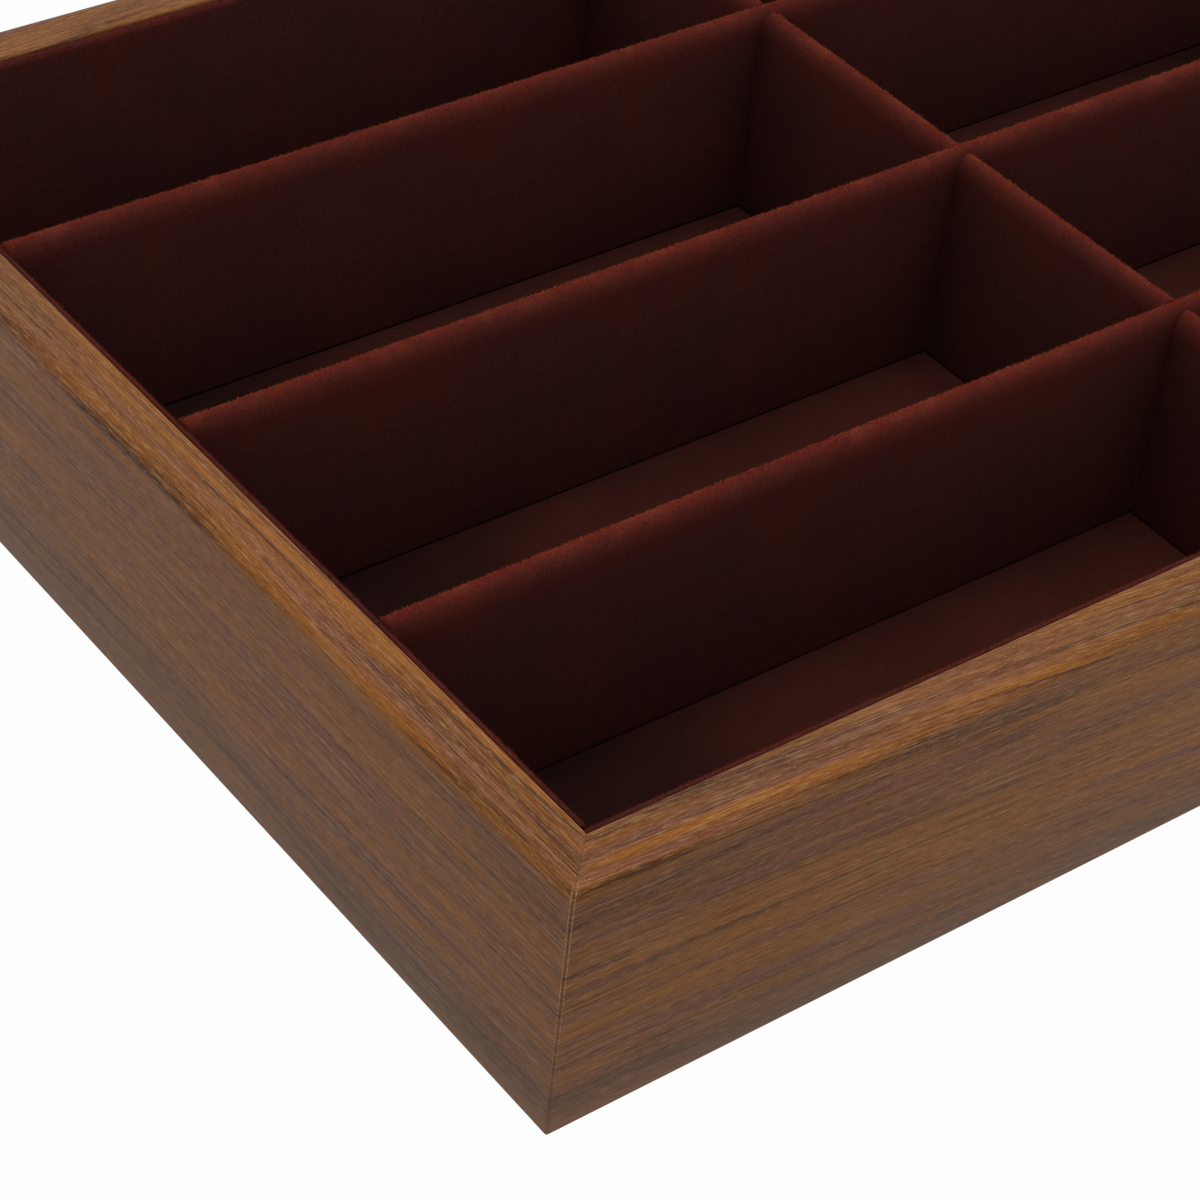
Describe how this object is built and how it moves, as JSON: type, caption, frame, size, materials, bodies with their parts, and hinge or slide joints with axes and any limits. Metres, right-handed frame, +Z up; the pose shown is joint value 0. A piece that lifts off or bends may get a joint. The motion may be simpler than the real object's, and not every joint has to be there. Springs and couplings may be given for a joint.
{
  "type": "sunglass organizer tray",
  "caption": "Open display tray with mitred walnut-look walls, a velvet lining and a lift-out grid of velvet dividers for sunglasses.",
  "frame": {"origin": "middle of the underside, on the surface that the tray stands on", "axes": "+X along the long side, towards the right; +Y from the front wall to the back wall; +Z up"},
  "size_m": [0.3626, 0.245, 0.0508],
  "materials": {
    "mdf": "sawn MDF, matt",
    "walnut_film": "printed walnut grain, satin, finely embossed",
    "hardboard": "pressed hardboard, matt",
    "nail_steel": "plain strip steel",
    "card": "grey board, matt",
    "velvet": "short dense pile, dark red-brown"
  },
  "bodies": {
    "tray": {"front_wall_core": "mdf", "front_wall_film": "walnut_film", "back_wall_core": "mdf", "back_wall_film": "walnut_film", "left_wall_core": "mdf", "left_wall_film": "walnut_film", "right_wall_core": "mdf", "right_wall_film": "walnut_film", "front_liner_card": "card", "front_liner_velvet": "velvet", "back_liner_card": "card", "back_liner_velvet": "velvet", "left_liner_card": "card", "left_liner_velvet": "velvet", "right_liner_card": "card", "right_liner_velvet": "velvet", "corner_nail_front_left_lower": "nail_steel", "corner_nail_front_left_upper": "nail_steel", "corner_nail_front_right_lower": "nail_steel", "corner_nail_front_right_upper": "nail_steel", "corner_nail_back_right_lower": "nail_steel", "corner_nail_back_right_upper": "nail_steel", "corner_nail_back_left_lower": "nail_steel", "corner_nail_back_left_upper": "nail_steel", "base_panel": "hardboard", "floor_card": "card", "floor_velvet": "velvet"},
    "cross_divider": {"cross_divider_card": "card", "cross_divider_velvet": "velvet"},
    "long_divider_1": {"long_divider_1_card": "card", "long_divider_1_velvet": "velvet"},
    "long_divider_2": {"long_divider_2_card": "card", "long_divider_2_velvet": "velvet"},
    "long_divider_3": {"long_divider_3_card": "card", "long_divider_3_velvet": "velvet"}
  },
  "joints": [
    {"name": "cross_divider_lift", "type": "slide", "parent": "tray", "child": "cross_divider", "axis": [0, 0, 1], "range_m": [0, 0.05]},
    {"name": "long_divider_1_lift", "type": "slide", "parent": "cross_divider", "child": "long_divider_1", "axis": [0, 0, 1], "range_m": [0, 0.05]},
    {"name": "long_divider_2_lift", "type": "slide", "parent": "cross_divider", "child": "long_divider_2", "axis": [0, 0, 1], "range_m": [0, 0.05]},
    {"name": "long_divider_3_lift", "type": "slide", "parent": "cross_divider", "child": "long_divider_3", "axis": [0, 0, 1], "range_m": [0, 0.05]}
  ]
}
